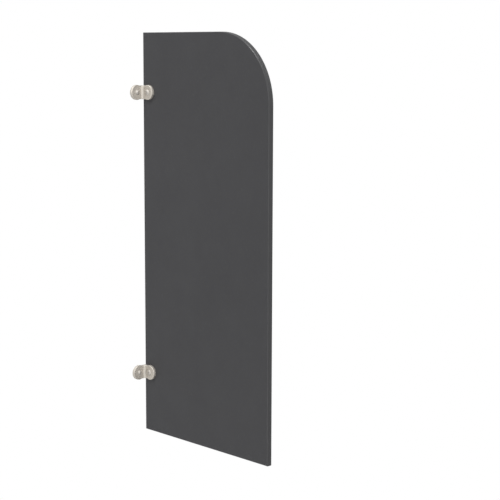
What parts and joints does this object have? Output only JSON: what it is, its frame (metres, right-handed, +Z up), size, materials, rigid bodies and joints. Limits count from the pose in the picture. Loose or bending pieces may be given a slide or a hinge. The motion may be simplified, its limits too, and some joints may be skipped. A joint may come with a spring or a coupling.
{
  "type": "urinal privacy screen",
  "caption": "Wall-hung privacy screen: a dark laminate panel with one rounded upper corner, held square to the wall by two waisted angle brackets.",
  "frame": {"origin": "where the axis of the lower wall plug meets the wall", "axes": "+X from the wall into the room, +Z up, and the brackets on the -Y side of the panel"},
  "size_m": [0.4405, 0.0543, 0.9],
  "materials": {
    "laminate": "matt charcoal compact laminate",
    "satin_nickel": "satin nickel on a zinc casting",
    "stainless_steel": "bright stainless steel",
    "nylon": "natural nylon"
  },
  "bodies": {
    "root": {"screen_panel": "laminate", "upper_bracket": "satin_nickel", "lower_bracket": "satin_nickel", "upper_panel_screw": "stainless_steel", "lower_panel_screw": "stainless_steel", "upper_barrel_nut": "stainless_steel", "lower_barrel_nut": "stainless_steel", "upper_nut_washer": "nylon", "lower_nut_washer": "nylon", "upper_wall_screw": "stainless_steel", "lower_wall_screw": "stainless_steel", "upper_wall_plug": "nylon", "lower_wall_plug": "nylon"}
  },
  "joints": []
}
